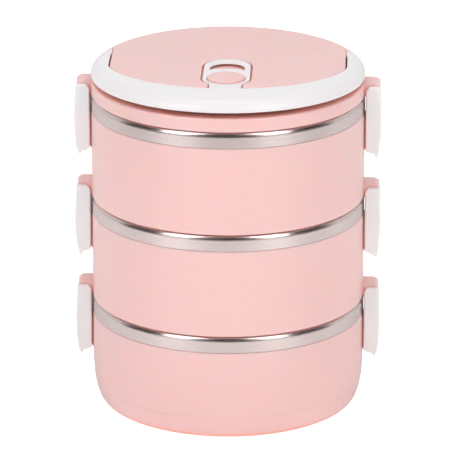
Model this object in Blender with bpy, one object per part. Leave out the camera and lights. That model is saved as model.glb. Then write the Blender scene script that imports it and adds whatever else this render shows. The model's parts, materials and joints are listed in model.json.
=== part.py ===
"""Three-tier round tiffin carrier: stacked steel bowls in plastic shells, held by side latches.

Frame: origin at the middle of the flat underside, +Z up, the carrying handle lies at the front
(-Y), and the latches stand on the two sides (+X and -X). Every length is in metres.
"""

import math

import bmesh
import bpy
from mathutils import Vector

MM = 0.001
SEGMENTS = 40
GAP = 0.3 * MM

# Stack
TIER_PITCH = 56.0 * MM
BODY_RADIUS = 72.4 * MM
BAND_RADIUS = 72.5 * MM
RIM_RADIUS = 72.3 * MM
LIP_HEIGHT = 57.2 * MM
BAND_HEIGHT = 8.6 * MM
SHELL_INNER_RADIUS = 69.6 * MM
SHELL_FLOOR = 2.2 * MM
TONGUE_RADIUS = 71.6 * MM
TONGUE_DROP = 2.9 * MM
EDGE_ROUND = 1.2 * MM

# Rounded lower corner of the base, and its foot ring
BASE_FLAT_RADIUS = 66.1 * MM
BASE_CORNER_HEIGHT = 22.5 * MM
FOOT_INNER_RADIUS = 52.0 * MM
FOOT_RECESS = 0.9 * MM
BASE_FLOOR = 3.2 * MM

# Steel bowls
STEEL = 0.6 * MM
BOWL_INNER_RADIUS = 68.5 * MM
BOWL_CORNER = 12.0 * MM
LIP_ROUND = 2.8 * MM

# Plug under each upper tier and under the lid, with its sealing ring
PLUG_DEPTH = 6.2 * MM
PLUG_RADIUS = 65.5 * MM
PLUG_INNER_RADIUS = 62.5 * MM
PLUG_FLANGE_RADIUS = 67.8 * MM
PLUG_FLANGE = 1.1 * MM
SEAL_RADIUS = 68.2 * MM
SEAL_TOP_DROP = 0.6 * MM
SEAL_BEAD = 0.5 * MM

# Lid
LID_TOP = 186.3 * MM
LEDGE_HEIGHT = 176.6 * MM
SHOULDER_START = 63.5 * MM
SHOULDER_HEIGHT = 5.5 * MM
RIM_INNER_RADIUS = 70.0 * MM
RIM_CEILING = 173.4 * MM
PLATFORM_CEILING = 178.6 * MM
PLATFORM_CORE_RADIUS = 44.0 * MM
HOLLOW_CEILING = 183.9 * MM
HOLLOW_NEAR_X = 17.0 * MM
HOLLOW_FAR_X = 58.5 * MM
HOLLOW_BACK_RADIUS = 60.0 * MM
PLATFORM_WALL = 2.4 * MM
FRONT_HALF_WIDTH = 63.6 * MM
FRONT_DEPTH = 48.6 * MM
SIDE_WALL_X = 61.9 * MM
SIDE_WALL_BACK_Y = 23.4 * MM
INNER_PLATE_RADIUS = 69.6 * MM
INNER_PLATE = 2.0 * MM

# Carrying handle
HANDLE_RADIUS = 72.5 * MM
HANDLE_PIVOT_Y = 16.5 * MM
HANDLE_PIVOT_Z = 182.6 * MM
HANDLE_END_Y = 22.0 * MM
HANDLE_LOBE_RADIUS = 5.4 * MM
HANDLE_LOW_SIDE = 179.2 * MM
HANDLE_FRONT_RISE = 1.5 * MM
HANDLE_FRONT_GAP = 0.4 * MM
ARM_GAP = 0.9 * MM
ARM_BOSS_Y = 12.6 * MM
STUB_RADIUS = 1.7 * MM
STUB_TIP_X = 59.6 * MM
STUB_HOLE_RADIUS = 2.0 * MM

# Centre tongue of the handle, and the pocket it lies in
TONGUE_HALF_WIDTH = 12.3 * MM
TONGUE_BACK_Y = -8.6 * MM
TONGUE_THICKNESS = 1.6 * MM
NECK_HALF_WIDTH = 8.4 * MM
NECK_END_Y = -50.0 * MM
SLOT_RADIUS = 9.2 * MM
SLOT_Y = -12.0 * MM
SLOT_FRONT_RADIUS = 17.9 * MM
SLOT_LIP = 0.8 * MM
SLOT_UNDERCUT = 3.0 * MM
POCKET_HALF_WIDTH = 13.3 * MM
POCKET_BACK_Y = -9.0 * MM
POCKET_NECK_HALF_WIDTH = 9.1 * MM
POCKET_FLOOR = 184.2 * MM

# Vent plug in the middle of the tongue
VENT_Y = -31.2 * MM
VENT_RADIUS = 9.8 * MM
VENT_HOLE_RADIUS = 10.15 * MM
VENT_TOP = 187.4 * MM
VENT_STEM_RADIUS = 4.0 * MM
VENT_STEM_HOLE_RADIUS = 4.4 * MM
VENT_FLANGE_RADIUS = 5.4 * MM
VENT_FLANGE_TOP = 166.5 * MM
VENT_FLANGE = 1.2 * MM
VENT_SEAL_RADIUS = 7.6 * MM
VENT_SEAL_SEAT = 182.7 * MM
VENT_SEAL_SEAT_RADIUS = 7.9 * MM

# Latches: heights are counted from the lower edge of the steel band that they cross
LATCH_PIVOT_X = 76.8 * MM
LATCH_PIVOT_RISE = 11.3 * MM
LATCH_HALF_WIDTH = 9.0 * MM
LATCH_CAVITY_HALF_WIDTH = 7.4 * MM
LUG_HALF_WIDTH = 7.1 * MM
CATCH_HALF_WIDTH = 6.6 * MM
LIP_HALF_WIDTH = 4.5 * MM
LATCH_PIN_RADIUS = 1.0 * MM
LATCH_PIN_HOLE_RADIUS = 1.15 * MM
LATCH_PIN_HALF_LENGTH = 8.2 * MM
LATCH_PIN_HOLE_HALF_LENGTH = 8.4 * MM

# Side outlines of the latch pieces, as distance from the axis and height in millimetres
LATCH_OUTLINE = [
    (76.4, 14.8), (79.8, 14.8), (80.5, 13.8), (81.1, 6.0), (81.4, -3.0), (81.2, -12.0),
    (80.4, -20.4), (79.4, -22.6), (77.6, -22.6), (73.8, -21.4), (72.8, -20.0), (72.8, 9.2),
    (73.6, 12.0), (75.2, 14.2),
]
LATCH_CAVITY_OUTLINE = [
    (70.0, 20.0), (84.0, 20.0), (84.0, 7.4), (79.4, 7.0), (79.7, -3.0), (79.4, -12.0),
    (78.8, -19.0), (75.6, -19.0), (75.6, -25.0), (70.0, -25.0),
]
LATCH_LIP_OUTLINE = [(77.6, -21.4), (80.0, -21.4), (79.6, -24.6), (78.8, -25.8), (77.9, -25.0)]
LUG_OUTLINE = [
    (71.0, 9.3), (72.9, 9.3), (74.0, 8.3), (79.0, 8.3), (80.2, 9.4), (80.2, 13.6), (79.4, 15.4),
    (77.4, 16.3), (71.0, 16.3),
]
CATCH_OUTLINE = [
    (70.9, -1.6), (72.9, -2.6), (73.6, -12.0), (75.2, -16.2), (75.2, -18.2), (73.3, -19.0),
    (70.9, -24.0),
]

PINK = (0.86, 0.50, 0.47)
WHITE = (0.88, 0.86, 0.87)
STEEL_GREY = (0.66, 0.62, 0.61)
SILICONE = (0.82, 0.80, 0.78)

TIERS = ("base", "middle", "top")
SIDES = {"left": -1.0, "right": 1.0}


def clear_scene():
    for item in list(bpy.data.objects):
        bpy.data.objects.remove(item, do_unlink=True)


def make_material(name, colour, roughness, metallic=0.0):
    material = bpy.data.materials.new(name)
    material.use_nodes = True
    shader = material.node_tree.nodes["Principled BSDF"]
    shader.inputs["Base Color"].default_value = (*colour, 1.0)
    shader.inputs["Roughness"].default_value = roughness
    shader.inputs["Metallic"].default_value = metallic
    return material


def add_object(name, bm, material=None, origin=(0.0, 0.0, 0.0)):
    """Turns a bmesh into an object whose origin is the given world point."""
    bmesh.ops.recalc_face_normals(bm, faces=bm.faces)
    bmesh.ops.translate(bm, verts=bm.verts, vec=-Vector(origin))
    mesh = bpy.data.meshes.new(name)
    bm.to_mesh(mesh)
    bm.free()
    mesh.shade_smooth()
    mesh.set_sharp_from_angle(angle=math.radians(35.0))
    item = bpy.data.objects.new(name, mesh)
    item.location = origin
    bpy.context.scene.collection.objects.link(item)
    if material:
        mesh.materials.append(material)
    return item


def combine(target, helper, operation):
    """Adds or removes a helper's shape; the helper itself is never part of the model."""
    helper.hide_render = True
    helper.display_type = "WIRE"
    modifier = target.modifiers.new(helper.name, "BOOLEAN")
    modifier.operation = operation
    modifier.object = helper


def arc(centre, radius, first, last, steps):
    """Points on a circle between two angles in degrees, both ends included."""
    points = []
    for step in range(steps + 1):
        angle = math.radians(first + (last - first) * step / steps)
        points.append((centre[0] + radius * math.cos(angle), centre[1] + radius * math.sin(angle)))
    return points


def ellipse(centre, half_width, half_height, first, last, steps):
    points = []
    for x, z in arc((0.0, 0.0), 1.0, first, last, steps):
        points.append((centre[0] + half_width * x, centre[1] + half_height * z))
    return points


def skin(bm, ring, other):
    """Joins two rings of points; a ring of one point is the tip of a cone."""
    count = max(len(ring), len(other))
    if count == 1:
        return
    for index in range(count):
        following = (index + 1) % count
        corners = [ring[index % len(ring)], ring[following % len(ring)]]
        corners += [other[following % len(other)], other[index % len(other)]]
        bm.faces.new(list(dict.fromkeys(corners)))


def turned(outline, centre_y=0.0, segments=SEGMENTS):
    """A closed (radius, height) outline turned about a vertical axis."""
    bm = bmesh.new()
    rings = []
    for radius, height in outline:
        if radius == 0.0:
            rings.append([bm.verts.new((0.0, centre_y, height))])
            continue
        ring = []
        for index in range(segments):
            angle = 2.0 * math.pi * index / segments
            x = radius * math.cos(angle)
            y = centre_y + radius * math.sin(angle)
            ring.append(bm.verts.new((x, y, height)))
        rings.append(ring)
    for ring, other in zip(rings, rings[1:] + rings[:1]):
        skin(bm, ring, other)
    return bm


def extruded(outline, start, end, place):
    """A prism: place(a, b, depth) gives the point of outline point (a, b) at that depth."""
    bm = bmesh.new()
    low = [bm.verts.new(place(a, b, start)) for a, b in outline]
    high = [bm.verts.new(place(a, b, end)) for a, b in outline]
    bm.faces.new(low)
    bm.faces.new(list(reversed(high)))
    skin(bm, low, high)
    return bm


def plan_prism(outline, low, high):
    return extruded(outline, low, high, lambda x, y, z: (x, y, z))


def side_prism(outline_mm, half_width, side, base_z):
    """A prism across Y from a side outline in millimetres, on the left or right side."""
    outline = [(side * x * MM, base_z + z * MM) for x, z in outline_mm]
    return extruded(outline, -half_width, half_width, lambda x, z, y: (x, y, z))


def rod(radius, start, end, place, sides=12):
    return extruded(arc((0.0, 0.0), radius, 0.0, 360.0 - 360.0 / sides, sides - 1), start, end, place)


def shoulder_height(radius, outer_radius):
    """Height of the rounded top of the lid or handle at a distance from the axis."""
    if radius <= SHOULDER_START:
        return LID_TOP
    share = min(1.0, (radius - SHOULDER_START) / (outer_radius - SHOULDER_START))
    return LID_TOP - SHOULDER_HEIGHT * (1.0 - math.sqrt(1.0 - share * share))


def band_low(tier):
    return LIP_HEIGHT - BAND_HEIGHT + tier * TIER_PITCH


def bottom_of(tier):
    """Height of the underside of a tier's shell; the lid counts as the tier above the top one."""
    return LIP_HEIGHT + GAP + (tier - 1) * TIER_PITCH


def shell_upper_outline(tier):
    """The outer wall up to the steel band, the step behind the band, and the inner wall's top."""
    low = band_low(tier)
    top = low + BAND_HEIGHT - TONGUE_DROP
    return [(BODY_RADIUS, low), (TONGUE_RADIUS, low), (TONGUE_RADIUS, top), (SHELL_INNER_RADIUS, top)]


def base_shell_outline():
    corner = BODY_RADIUS - BASE_FLAT_RADIUS
    outline = [(0.0, FOOT_RECESS), (FOOT_INNER_RADIUS, FOOT_RECESS)]
    outline += [(FOOT_INNER_RADIUS + 2.0 * FOOT_RECESS, 0.0)]
    outline += ellipse((BASE_FLAT_RADIUS, BASE_CORNER_HEIGHT), corner, BASE_CORNER_HEIGHT, -90.0, 0.0, 5)
    outline += shell_upper_outline(0)
    corner_radius = BOWL_CORNER + STEEL
    centre = (SHELL_INNER_RADIUS - corner_radius, BASE_FLOOR + corner_radius)
    outline += arc(centre, corner_radius, 0.0, -90.0, 3)
    return outline + [(0.0, BASE_FLOOR)]


def plug_outline(under):
    """Outer side of the plug below the level `under`, from its inner foot to its top."""
    foot = under - PLUG_DEPTH
    return [
        (PLUG_INNER_RADIUS, foot),
        (PLUG_FLANGE_RADIUS, foot),
        (PLUG_FLANGE_RADIUS, foot + PLUG_FLANGE),
        (PLUG_RADIUS, foot + PLUG_FLANGE),
    ]


def upper_shell_outline(tier):
    under = bottom_of(tier)
    floor = under + SHELL_FLOOR
    outline = [(0.0, under), (PLUG_INNER_RADIUS, under)] + plug_outline(under)
    outline += [(PLUG_RADIUS, under)]
    outline += arc((BODY_RADIUS - EDGE_ROUND, under + EDGE_ROUND), EDGE_ROUND, -90.0, 0.0, 2)
    outline += shell_upper_outline(tier)
    outline += [(SHELL_INNER_RADIUS, floor + 3.0 * MM), (SHELL_INNER_RADIUS - 3.0 * MM, floor)]
    return outline + [(0.0, floor)]


def bowl_outline(tier):
    """Thin steel bowl whose rolled lip turns down outside as the visible band."""
    lip = LIP_HEIGHT + tier * TIER_PITCH
    floor = (BASE_FLOOR if tier == 0 else bottom_of(tier) + SHELL_FLOOR) + GAP
    outer = BOWL_INNER_RADIUS + STEEL
    centre = (outer - BOWL_CORNER, floor + BOWL_CORNER)
    lip_centre = ((BOWL_INNER_RADIUS + BAND_RADIUS) / 2.0, lip - LIP_ROUND)
    lip_half = (BAND_RADIUS - BOWL_INNER_RADIUS) / 2.0
    skirt_foot = lip - BAND_HEIGHT + GAP
    outline = [(0.0, floor)] + arc(centre, BOWL_CORNER, -90.0, 0.0, 3)
    outline += ellipse(lip_centre, lip_half - STEEL, LIP_ROUND - STEEL, 180.0, 0.0, 4)
    outline += [(BAND_RADIUS - STEEL, skirt_foot), (BAND_RADIUS, skirt_foot)]
    outline += ellipse(lip_centre, lip_half, LIP_ROUND, 0.0, 180.0, 4)
    outline += arc(centre, BOWL_CORNER - STEEL, 0.0, -90.0, 3)
    return outline + [(0.0, floor + STEEL)]


def seal_outline(tier):
    """Sealing ring round the plug, with a raised bead towards the bowl."""
    under = bottom_of(tier)
    low = under - PLUG_DEPTH + PLUG_FLANGE + GAP
    high = under - SEAL_TOP_DROP
    inner = PLUG_RADIUS + GAP
    waist = SEAL_RADIUS - SEAL_BEAD
    return [(inner, low), (waist, low), (SEAL_RADIUS, (low + high) / 2.0), (waist, high), (inner, high)]


def add_lug(shell, tier, side_name, side):
    """Hinge lug on the lower edge of an upper tier or the lid, drilled for the latch's pin."""
    low = band_low(tier - 1)
    lug = add_object(f"lug_{tier}_{side_name}", side_prism(LUG_OUTLINE, LUG_HALF_WIDTH, side, low))
    combine(shell, lug, "UNION")
    hole = pin_rod(tier, side, LATCH_PIN_HOLE_RADIUS, LATCH_PIN_HOLE_HALF_LENGTH)
    combine(shell, add_object(f"lug_hole_{tier}_{side_name}", hole), "DIFFERENCE")


def add_catch(shell, tier, side_name, side):
    outline = side_prism(CATCH_OUTLINE, CATCH_HALF_WIDTH, side, band_low(tier))
    catch = add_object(f"catch_{tier}_{side_name}", outline)
    combine(shell, catch, "UNION")


def pin_rod(tier, side, radius, half_length):
    """A rod across Y on the latch axis of the joint under a tier."""
    x_axis = side * LATCH_PIVOT_X
    z_axis = band_low(tier - 1) + LATCH_PIVOT_RISE
    return rod(radius, -half_length, half_length, lambda x, z, y: (x_axis + x, y, z_axis + z))


def make_latch(owner, tier, side_name, side, white, steel):
    """A latch hinged on the lug of `owner`, and the hidden steel pin it turns on."""
    low = band_low(tier - 1)
    pivot = (side * LATCH_PIVOT_X, 0.0, low + LATCH_PIVOT_RISE)
    body = side_prism(LATCH_OUTLINE, LATCH_HALF_WIDTH, side, low)
    latch = add_object(f"{owner}_latch_{side_name}", body, white, pivot)
    cavity = side_prism(LATCH_CAVITY_OUTLINE, LATCH_CAVITY_HALF_WIDTH, side, low)
    combine(latch, add_object(f"latch_cavity_{tier}_{side_name}", cavity), "DIFFERENCE")
    lip = side_prism(LATCH_LIP_OUTLINE, LIP_HALF_WIDTH, side, low)
    combine(latch, add_object(f"latch_lip_{tier}_{side_name}", lip), "UNION")
    hole = pin_rod(tier, side, LATCH_PIN_HOLE_RADIUS, LATCH_PIN_HOLE_HALF_LENGTH)
    combine(latch, add_object(f"latch_hole_{tier}_{side_name}", hole), "DIFFERENCE")
    pin = pin_rod(tier, side, LATCH_PIN_RADIUS, LATCH_PIN_HALF_LENGTH)
    add_object(f"{owner}_latch_pin_{side_name}", pin, steel, pivot)


def make_tier(tier, pink, white, steel, silicone):
    name = TIERS[tier]
    outline = base_shell_outline() if tier == 0 else upper_shell_outline(tier)
    shell = add_object(f"{name}_shell", turned(outline), pink)
    for side_name, side in SIDES.items():
        add_catch(shell, tier, side_name, side)
        if tier > 0:
            add_lug(shell, tier, side_name, side)
            make_latch(name, tier, side_name, side, white, steel)
    add_object(f"{name}_bowl", turned(bowl_outline(tier)), steel)
    if tier > 0:
        add_object(f"{name}_seal", turned(seal_outline(tier)), silicone)


def lid_outline():
    under = bottom_of(3)
    outline = [(0.0, PLATFORM_CEILING), (PLATFORM_CORE_RADIUS, PLATFORM_CEILING)]
    outline += [(PLATFORM_CORE_RADIUS, RIM_CEILING), (RIM_INNER_RADIUS, RIM_CEILING)]
    outline += [(RIM_INNER_RADIUS, under), (RIM_RADIUS - EDGE_ROUND / 2.0, under)]
    outline += [(RIM_RADIUS, under + EDGE_ROUND / 2.0)]
    half_width = RIM_RADIUS - SHOULDER_START
    centre = (SHOULDER_START, LID_TOP - SHOULDER_HEIGHT)
    outline += ellipse(centre, half_width, SHOULDER_HEIGHT, 0.0, 90.0, 5)
    return outline + [(0.0, LID_TOP)]


def front_edge(extra, first_x, last_x, steps):
    """The platform's elliptical front edge moved outwards by `extra`, between two places along X."""
    half_width = FRONT_HALF_WIDTH + extra
    first = math.degrees(math.asin(first_x / half_width)) - 90.0
    last = math.degrees(math.asin(last_x / half_width)) - 90.0
    return ellipse((0.0, 0.0), half_width, FRONT_DEPTH + extra, first, last, steps)


def handle_bay_outline():
    """Everything in plan that is cut from the lid for the handle to lie in."""
    far = 2.0 * HANDLE_RADIUS
    outline = [(-far, SIDE_WALL_BACK_Y), (-SIDE_WALL_X, SIDE_WALL_BACK_Y)]
    outline += front_edge(0.0, -SIDE_WALL_X, SIDE_WALL_X, 24)
    outline += [(SIDE_WALL_X, SIDE_WALL_BACK_Y), (far, SIDE_WALL_BACK_Y), (far, -far), (-far, -far)]
    return outline


def hollow_outline(side):
    """Lightening hollow under one half of the platform."""
    back_near = math.degrees(math.acos(HOLLOW_NEAR_X / HOLLOW_BACK_RADIUS))
    back_far = math.degrees(math.acos(HOLLOW_FAR_X / HOLLOW_BACK_RADIUS))
    outline = arc((0.0, 0.0), HOLLOW_BACK_RADIUS, back_far, back_near, 6)
    outline += front_edge(-PLATFORM_WALL, HOLLOW_NEAR_X, HOLLOW_FAR_X, 8)
    return [(side * x, y) for x, y in outline]


def paddle_outline(half_width, back_y, neck_half_width, neck_end_y):
    """Round-ended paddle in plan, joined to a narrower neck that runs to the front."""
    outline = arc((0.0, back_y), half_width, 0.0, 180.0, 12)
    fall = math.degrees(math.acos(neck_half_width / half_width))
    outline += arc((0.0, VENT_Y), half_width, 180.0, 180.0 + fall, 4)
    outline += [(-neck_half_width, neck_end_y), (neck_half_width, neck_end_y)]
    outline += arc((0.0, VENT_Y), half_width, -fall, 0.0, 4)
    return outline


def slot_outline():
    """Finger slot of the tongue: round at the back, and hollow towards the vent plug."""
    half = math.degrees(math.asin(SLOT_RADIUS / SLOT_FRONT_RADIUS))
    outline = arc((0.0, SLOT_Y), SLOT_RADIUS, 0.0, 180.0, 10)
    outline += arc((0.0, VENT_Y), SLOT_FRONT_RADIUS, 90.0 + half, 90.0 - half, 6)
    return outline


def stem_rod(radius, low, high, sides=24):
    return rod(radius, low, high, lambda x, y, z: (x, VENT_Y + y, z), sides)


def make_lid_cover(pink):
    cover = add_object("lid_cover", turned(lid_outline()), pink)
    above = LID_TOP + 5.0 * MM
    bay = plan_prism(handle_bay_outline(), LEDGE_HEIGHT, above)
    combine(cover, add_object("handle_bay", bay), "DIFFERENCE")
    for side_name, side in SIDES.items():
        hollow = plan_prism(hollow_outline(side), RIM_CEILING - MM, HOLLOW_CEILING)
        combine(cover, add_object(f"hollow_{side_name}", hollow), "DIFFERENCE")
        hole = rod(STUB_HOLE_RADIUS, side * (HOLLOW_FAR_X - MM), side * (SIDE_WALL_X + MM), handle_axis)
        combine(cover, add_object(f"stub_hole_{side_name}", hole), "DIFFERENCE")
        add_lug(cover, 3, side_name, side)
    neck_end = -HANDLE_RADIUS
    outline = paddle_outline(POCKET_HALF_WIDTH, POCKET_BACK_Y, POCKET_NECK_HALF_WIDTH, neck_end)
    pocket = plan_prism(outline, POCKET_FLOOR, above)
    combine(cover, add_object("tongue_pocket", pocket), "DIFFERENCE")
    seat = stem_rod(VENT_SEAL_SEAT_RADIUS, VENT_SEAL_SEAT, above)
    combine(cover, add_object("vent_seat", seat), "DIFFERENCE")
    stem_hole = stem_rod(VENT_STEM_HOLE_RADIUS, RIM_CEILING, above)
    combine(cover, add_object("vent_stem_hole", stem_hole), "DIFFERENCE")


def make_inner_plate(white):
    """Plate inside the lid, whose plug carries the lid's sealing ring."""
    under = bottom_of(3) + GAP
    plug = plug_outline(bottom_of(3))
    outline = [(0.0, under), (PLUG_INNER_RADIUS, under)] + plug
    outline += [(PLUG_RADIUS, under), (INNER_PLATE_RADIUS, under)]
    outline += [(INNER_PLATE_RADIUS, under + INNER_PLATE), (0.0, under + INNER_PLATE)]
    plate = add_object("lid_inner_plate", turned(outline), white)
    hole = stem_rod(VENT_STEM_HOLE_RADIUS, under - MM, under + 2.0 * INNER_PLATE)
    combine(plate, add_object("plate_vent_hole", hole), "DIFFERENCE")


def handle_axis(y, z, x):
    """A point of a rod that lies along the handle's turning axis."""
    return (x, HANDLE_PIVOT_Y + y, HANDLE_PIVOT_Z + z)


def handle_underside(y):
    """Lowest height of the handle at a place along Y; round below the pivot, arched in front."""
    behind = y - HANDLE_PIVOT_Y
    if behind > 0.0:
        drop = math.sqrt(max(0.0, HANDLE_LOBE_RADIUS ** 2 - behind ** 2))
        return max(HANDLE_LOW_SIDE, HANDLE_PIVOT_Z - drop)
    forward = max(0.0, -y / HANDLE_RADIUS)
    return HANDLE_LOW_SIDE + HANDLE_FRONT_RISE * forward ** 2


def handle_stations():
    """Pairs of plan points, on the handle's inner and outer edge, from the right end to the left."""
    boss_x = SIDE_WALL_X + GAP
    arm_x = SIDE_WALL_X + ARM_GAP
    arm = [(boss_x, HANDLE_END_Y), (boss_x, HANDLE_END_Y - 0.6 * MM), (boss_x, HANDLE_END_Y - 1.3 * MM)]
    arm += [(boss_x, HANDLE_PIVOT_Y), (boss_x, ARM_BOSS_Y), (arm_x, ARM_BOSS_Y - ARM_GAP)]
    arm += [(arm_x, 4.0 * MM), (arm_x, -5.0 * MM)]
    right = [(inner, (math.sqrt(HANDLE_RADIUS ** 2 - inner[1] ** 2), inner[1])) for inner in arm]
    inner_edge = front_edge(HANDLE_FRONT_GAP, arm_x, -arm_x, 24)
    corner_y = inner_edge[0][1]
    spread = math.degrees(math.acos(-corner_y / HANDLE_RADIUS))
    outer_edge = arc((0.0, 0.0), HANDLE_RADIUS, -90.0 + spread, -90.0 - spread, 24)
    left = [((-a, b), (-c, d)) for (a, b), (c, d) in reversed(right)]
    return right + list(zip(inner_edge, outer_edge)) + left


def handle_section(inner, outer):
    """Closed section of the handle between its two edges: over the top, down, and back beneath."""
    inner = Vector(inner)
    outer = Vector(outer)
    first = max(inner.length + 0.8 * MM, SHOULDER_START)
    width = HANDLE_RADIUS - SHOULDER_START
    begin = math.asin((first - SHOULDER_START) / width)
    points = [(*inner, shoulder_height(inner.length, HANDLE_RADIUS))]
    for step in range(5):
        angle = begin + (math.pi / 2.0 - begin) * step / 4.0
        radius = SHOULDER_START + width * math.sin(angle)
        share = (radius - inner.length) / (HANDLE_RADIUS - inner.length)
        place = inner.lerp(outer, share)
        points.append((*place, shoulder_height(place.length, HANDLE_RADIUS)))
    low = handle_underside(inner.y)
    edge = inner.lerp(outer, 1.0 - 0.8 * MM / (outer - inner).length)
    points += [(*outer, min(low + 0.8 * MM, points[-1][2] - 0.2 * MM)), (*edge, low), (*inner, low)]
    return points


def make_handle(white):
    """Crescent handle that lies round the platform, with its pivot stubs and centre tongue."""
    bm = bmesh.new()
    rings = []
    for inner, outer in handle_stations():
        rings.append([bm.verts.new(point) for point in handle_section(inner, outer)])
    for ring, other in zip(rings, rings[1:]):
        skin(bm, ring, other)
    bm.faces.new(rings[0])
    bm.faces.new(list(reversed(rings[-1])))
    handle = add_object("handle", bm, white, (0.0, HANDLE_PIVOT_Y, HANDLE_PIVOT_Z))
    top = LID_TOP - 0.05 * MM
    outline = paddle_outline(TONGUE_HALF_WIDTH, TONGUE_BACK_Y, NECK_HALF_WIDTH, NECK_END_Y)
    tongue = plan_prism(outline, top - TONGUE_THICKNESS, top)
    combine(handle, add_object("tongue", tongue), "UNION")
    slot = plan_prism(slot_outline(), top - 2.0 * TONGUE_THICKNESS, top + TONGUE_THICKNESS)
    combine(handle, add_object("finger_slot", slot), "DIFFERENCE")
    behind = [(x, y + SLOT_UNDERCUT) for x, y in slot_outline()]
    undercut = plan_prism(behind, top - 2.0 * TONGUE_THICKNESS, top - SLOT_LIP)
    combine(handle, add_object("slot_undercut", undercut), "DIFFERENCE")
    hole = stem_rod(VENT_HOLE_RADIUS, top - 2.0 * TONGUE_THICKNESS, top + TONGUE_THICKNESS, 32)
    combine(handle, add_object("vent_window", hole), "DIFFERENCE")
    for side_name, side in SIDES.items():
        stub = rod(STUB_RADIUS, side * STUB_TIP_X, side * (SIDE_WALL_X + 2.0 * MM), handle_axis)
        combine(handle, add_object(f"stub_{side_name}", stub), "UNION")


def make_vent(pink, silicone):
    """Lift-out vent plug with its retaining flange, and the small ring that it seals on."""
    shoulder = POCKET_FLOOR + GAP
    foot = VENT_FLANGE_TOP - VENT_FLANGE
    round_top = 0.9 * MM
    outline = [(0.0, VENT_TOP)]
    outline += ellipse((VENT_RADIUS - round_top, VENT_TOP - round_top), round_top, round_top, 90.0, 0.0, 2)
    outline += [(VENT_RADIUS, shoulder), (VENT_STEM_RADIUS, shoulder)]
    outline += [(VENT_STEM_RADIUS, VENT_FLANGE_TOP), (VENT_FLANGE_RADIUS, VENT_FLANGE_TOP)]
    outline += [(VENT_FLANGE_RADIUS, foot), (0.0, foot)]
    add_object("vent_plug", turned(outline, VENT_Y, 32), pink)
    ring = [(VENT_STEM_HOLE_RADIUS, VENT_SEAL_SEAT + GAP), (VENT_SEAL_RADIUS, VENT_SEAL_SEAT + GAP)]
    ring += [(VENT_SEAL_RADIUS, POCKET_FLOOR), (VENT_STEM_HOLE_RADIUS, POCKET_FLOOR)]
    add_object("vent_seal", turned(ring, VENT_Y, 24), silicone)


def make_lid(pink, white, steel, silicone):
    make_lid_cover(pink)
    make_inner_plate(white)
    add_object("lid_seal", turned(seal_outline(3)), silicone)
    for side_name, side in SIDES.items():
        make_latch("lid", 3, side_name, side, white, steel)
    make_handle(white)
    make_vent(pink, silicone)


def main():
    clear_scene()
    pink = make_material("pink_plastic", PINK, 0.35)
    white = make_material("white_plastic", WHITE, 0.35)
    steel = make_material("stainless_steel", STEEL_GREY, 0.28, 1.0)
    silicone = make_material("silicone", SILICONE, 0.5)
    for tier in range(len(TIERS)):
        make_tier(tier, pink, white, steel, silicone)
    make_lid(pink, white, steel, silicone)


main()
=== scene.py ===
"""Looks for a three-tier round tiffin carrier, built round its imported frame.

Every piece stands for one CAD node, in the same dimensions, with finer meshes, rounded edges and
procedural materials. Frame: +Z up, handle at the front (-Y), latches at +X and -X. Metres.
"""

import json
import math

import bmesh
import bpy
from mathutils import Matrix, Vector

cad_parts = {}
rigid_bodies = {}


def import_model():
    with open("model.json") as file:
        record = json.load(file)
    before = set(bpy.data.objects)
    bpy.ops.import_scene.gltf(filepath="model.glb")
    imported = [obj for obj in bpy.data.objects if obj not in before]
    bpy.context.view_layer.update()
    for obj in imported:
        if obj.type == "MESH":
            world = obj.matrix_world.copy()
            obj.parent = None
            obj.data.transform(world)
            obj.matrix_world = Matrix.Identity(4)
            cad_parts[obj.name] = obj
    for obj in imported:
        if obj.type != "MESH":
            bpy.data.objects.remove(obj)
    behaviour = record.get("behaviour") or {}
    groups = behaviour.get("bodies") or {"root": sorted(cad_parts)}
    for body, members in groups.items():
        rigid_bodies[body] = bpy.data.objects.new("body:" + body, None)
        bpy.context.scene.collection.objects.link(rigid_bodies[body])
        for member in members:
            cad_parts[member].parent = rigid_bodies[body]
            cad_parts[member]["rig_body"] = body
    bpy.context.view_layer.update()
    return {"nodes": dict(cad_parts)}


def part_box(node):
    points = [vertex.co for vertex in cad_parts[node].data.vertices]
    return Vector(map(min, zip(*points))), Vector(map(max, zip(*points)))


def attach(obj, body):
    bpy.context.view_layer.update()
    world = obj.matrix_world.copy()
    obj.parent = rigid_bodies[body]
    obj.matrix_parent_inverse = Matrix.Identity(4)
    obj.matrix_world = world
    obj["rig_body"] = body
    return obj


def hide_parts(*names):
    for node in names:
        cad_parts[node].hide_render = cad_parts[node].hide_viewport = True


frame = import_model()

MM = 0.001
TURNED_SEGMENTS = 168
SMOOTH_ANGLE = math.radians(32.0)
EDGE_ANGLE = math.radians(40.0)
WELD = 0.001 * MM
LEVEL = 0.0001 * MM

# Stack
BODY_RADIUS = 72.4 * MM
BAND_RADIUS = 72.5 * MM
BAND_HEIGHT = 8.6 * MM
GAP = 0.3 * MM
SHELL_INNER_RADIUS = 69.6 * MM
SHELL_FLOOR = 2.2 * MM
TONGUE_RADIUS = 71.6 * MM
TONGUE_DROP = 2.9 * MM
BASE_FLAT_RADIUS = 66.1 * MM
BASE_CORNER_HEIGHT = 22.5 * MM
BASE_FLOOR = 3.2 * MM
BASE_LINE_HEIGHT = 11.9 * MM
BASE_LINE_DEPTH = 0.16 * MM
STEEL = 0.6 * MM
BOWL_INNER_RADIUS = 68.5 * MM
BOWL_CORNER = 12.0 * MM
LIP_ROUND = 2.8 * MM
PLUG_DEPTH = 6.2 * MM
PLUG_RADIUS = 65.5 * MM
PLUG_INNER_RADIUS = 62.5 * MM
PLUG_FLANGE_RADIUS = 67.8 * MM
PLUG_FLANGE = 1.1 * MM
SEAL_RADIUS = 68.2 * MM

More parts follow.
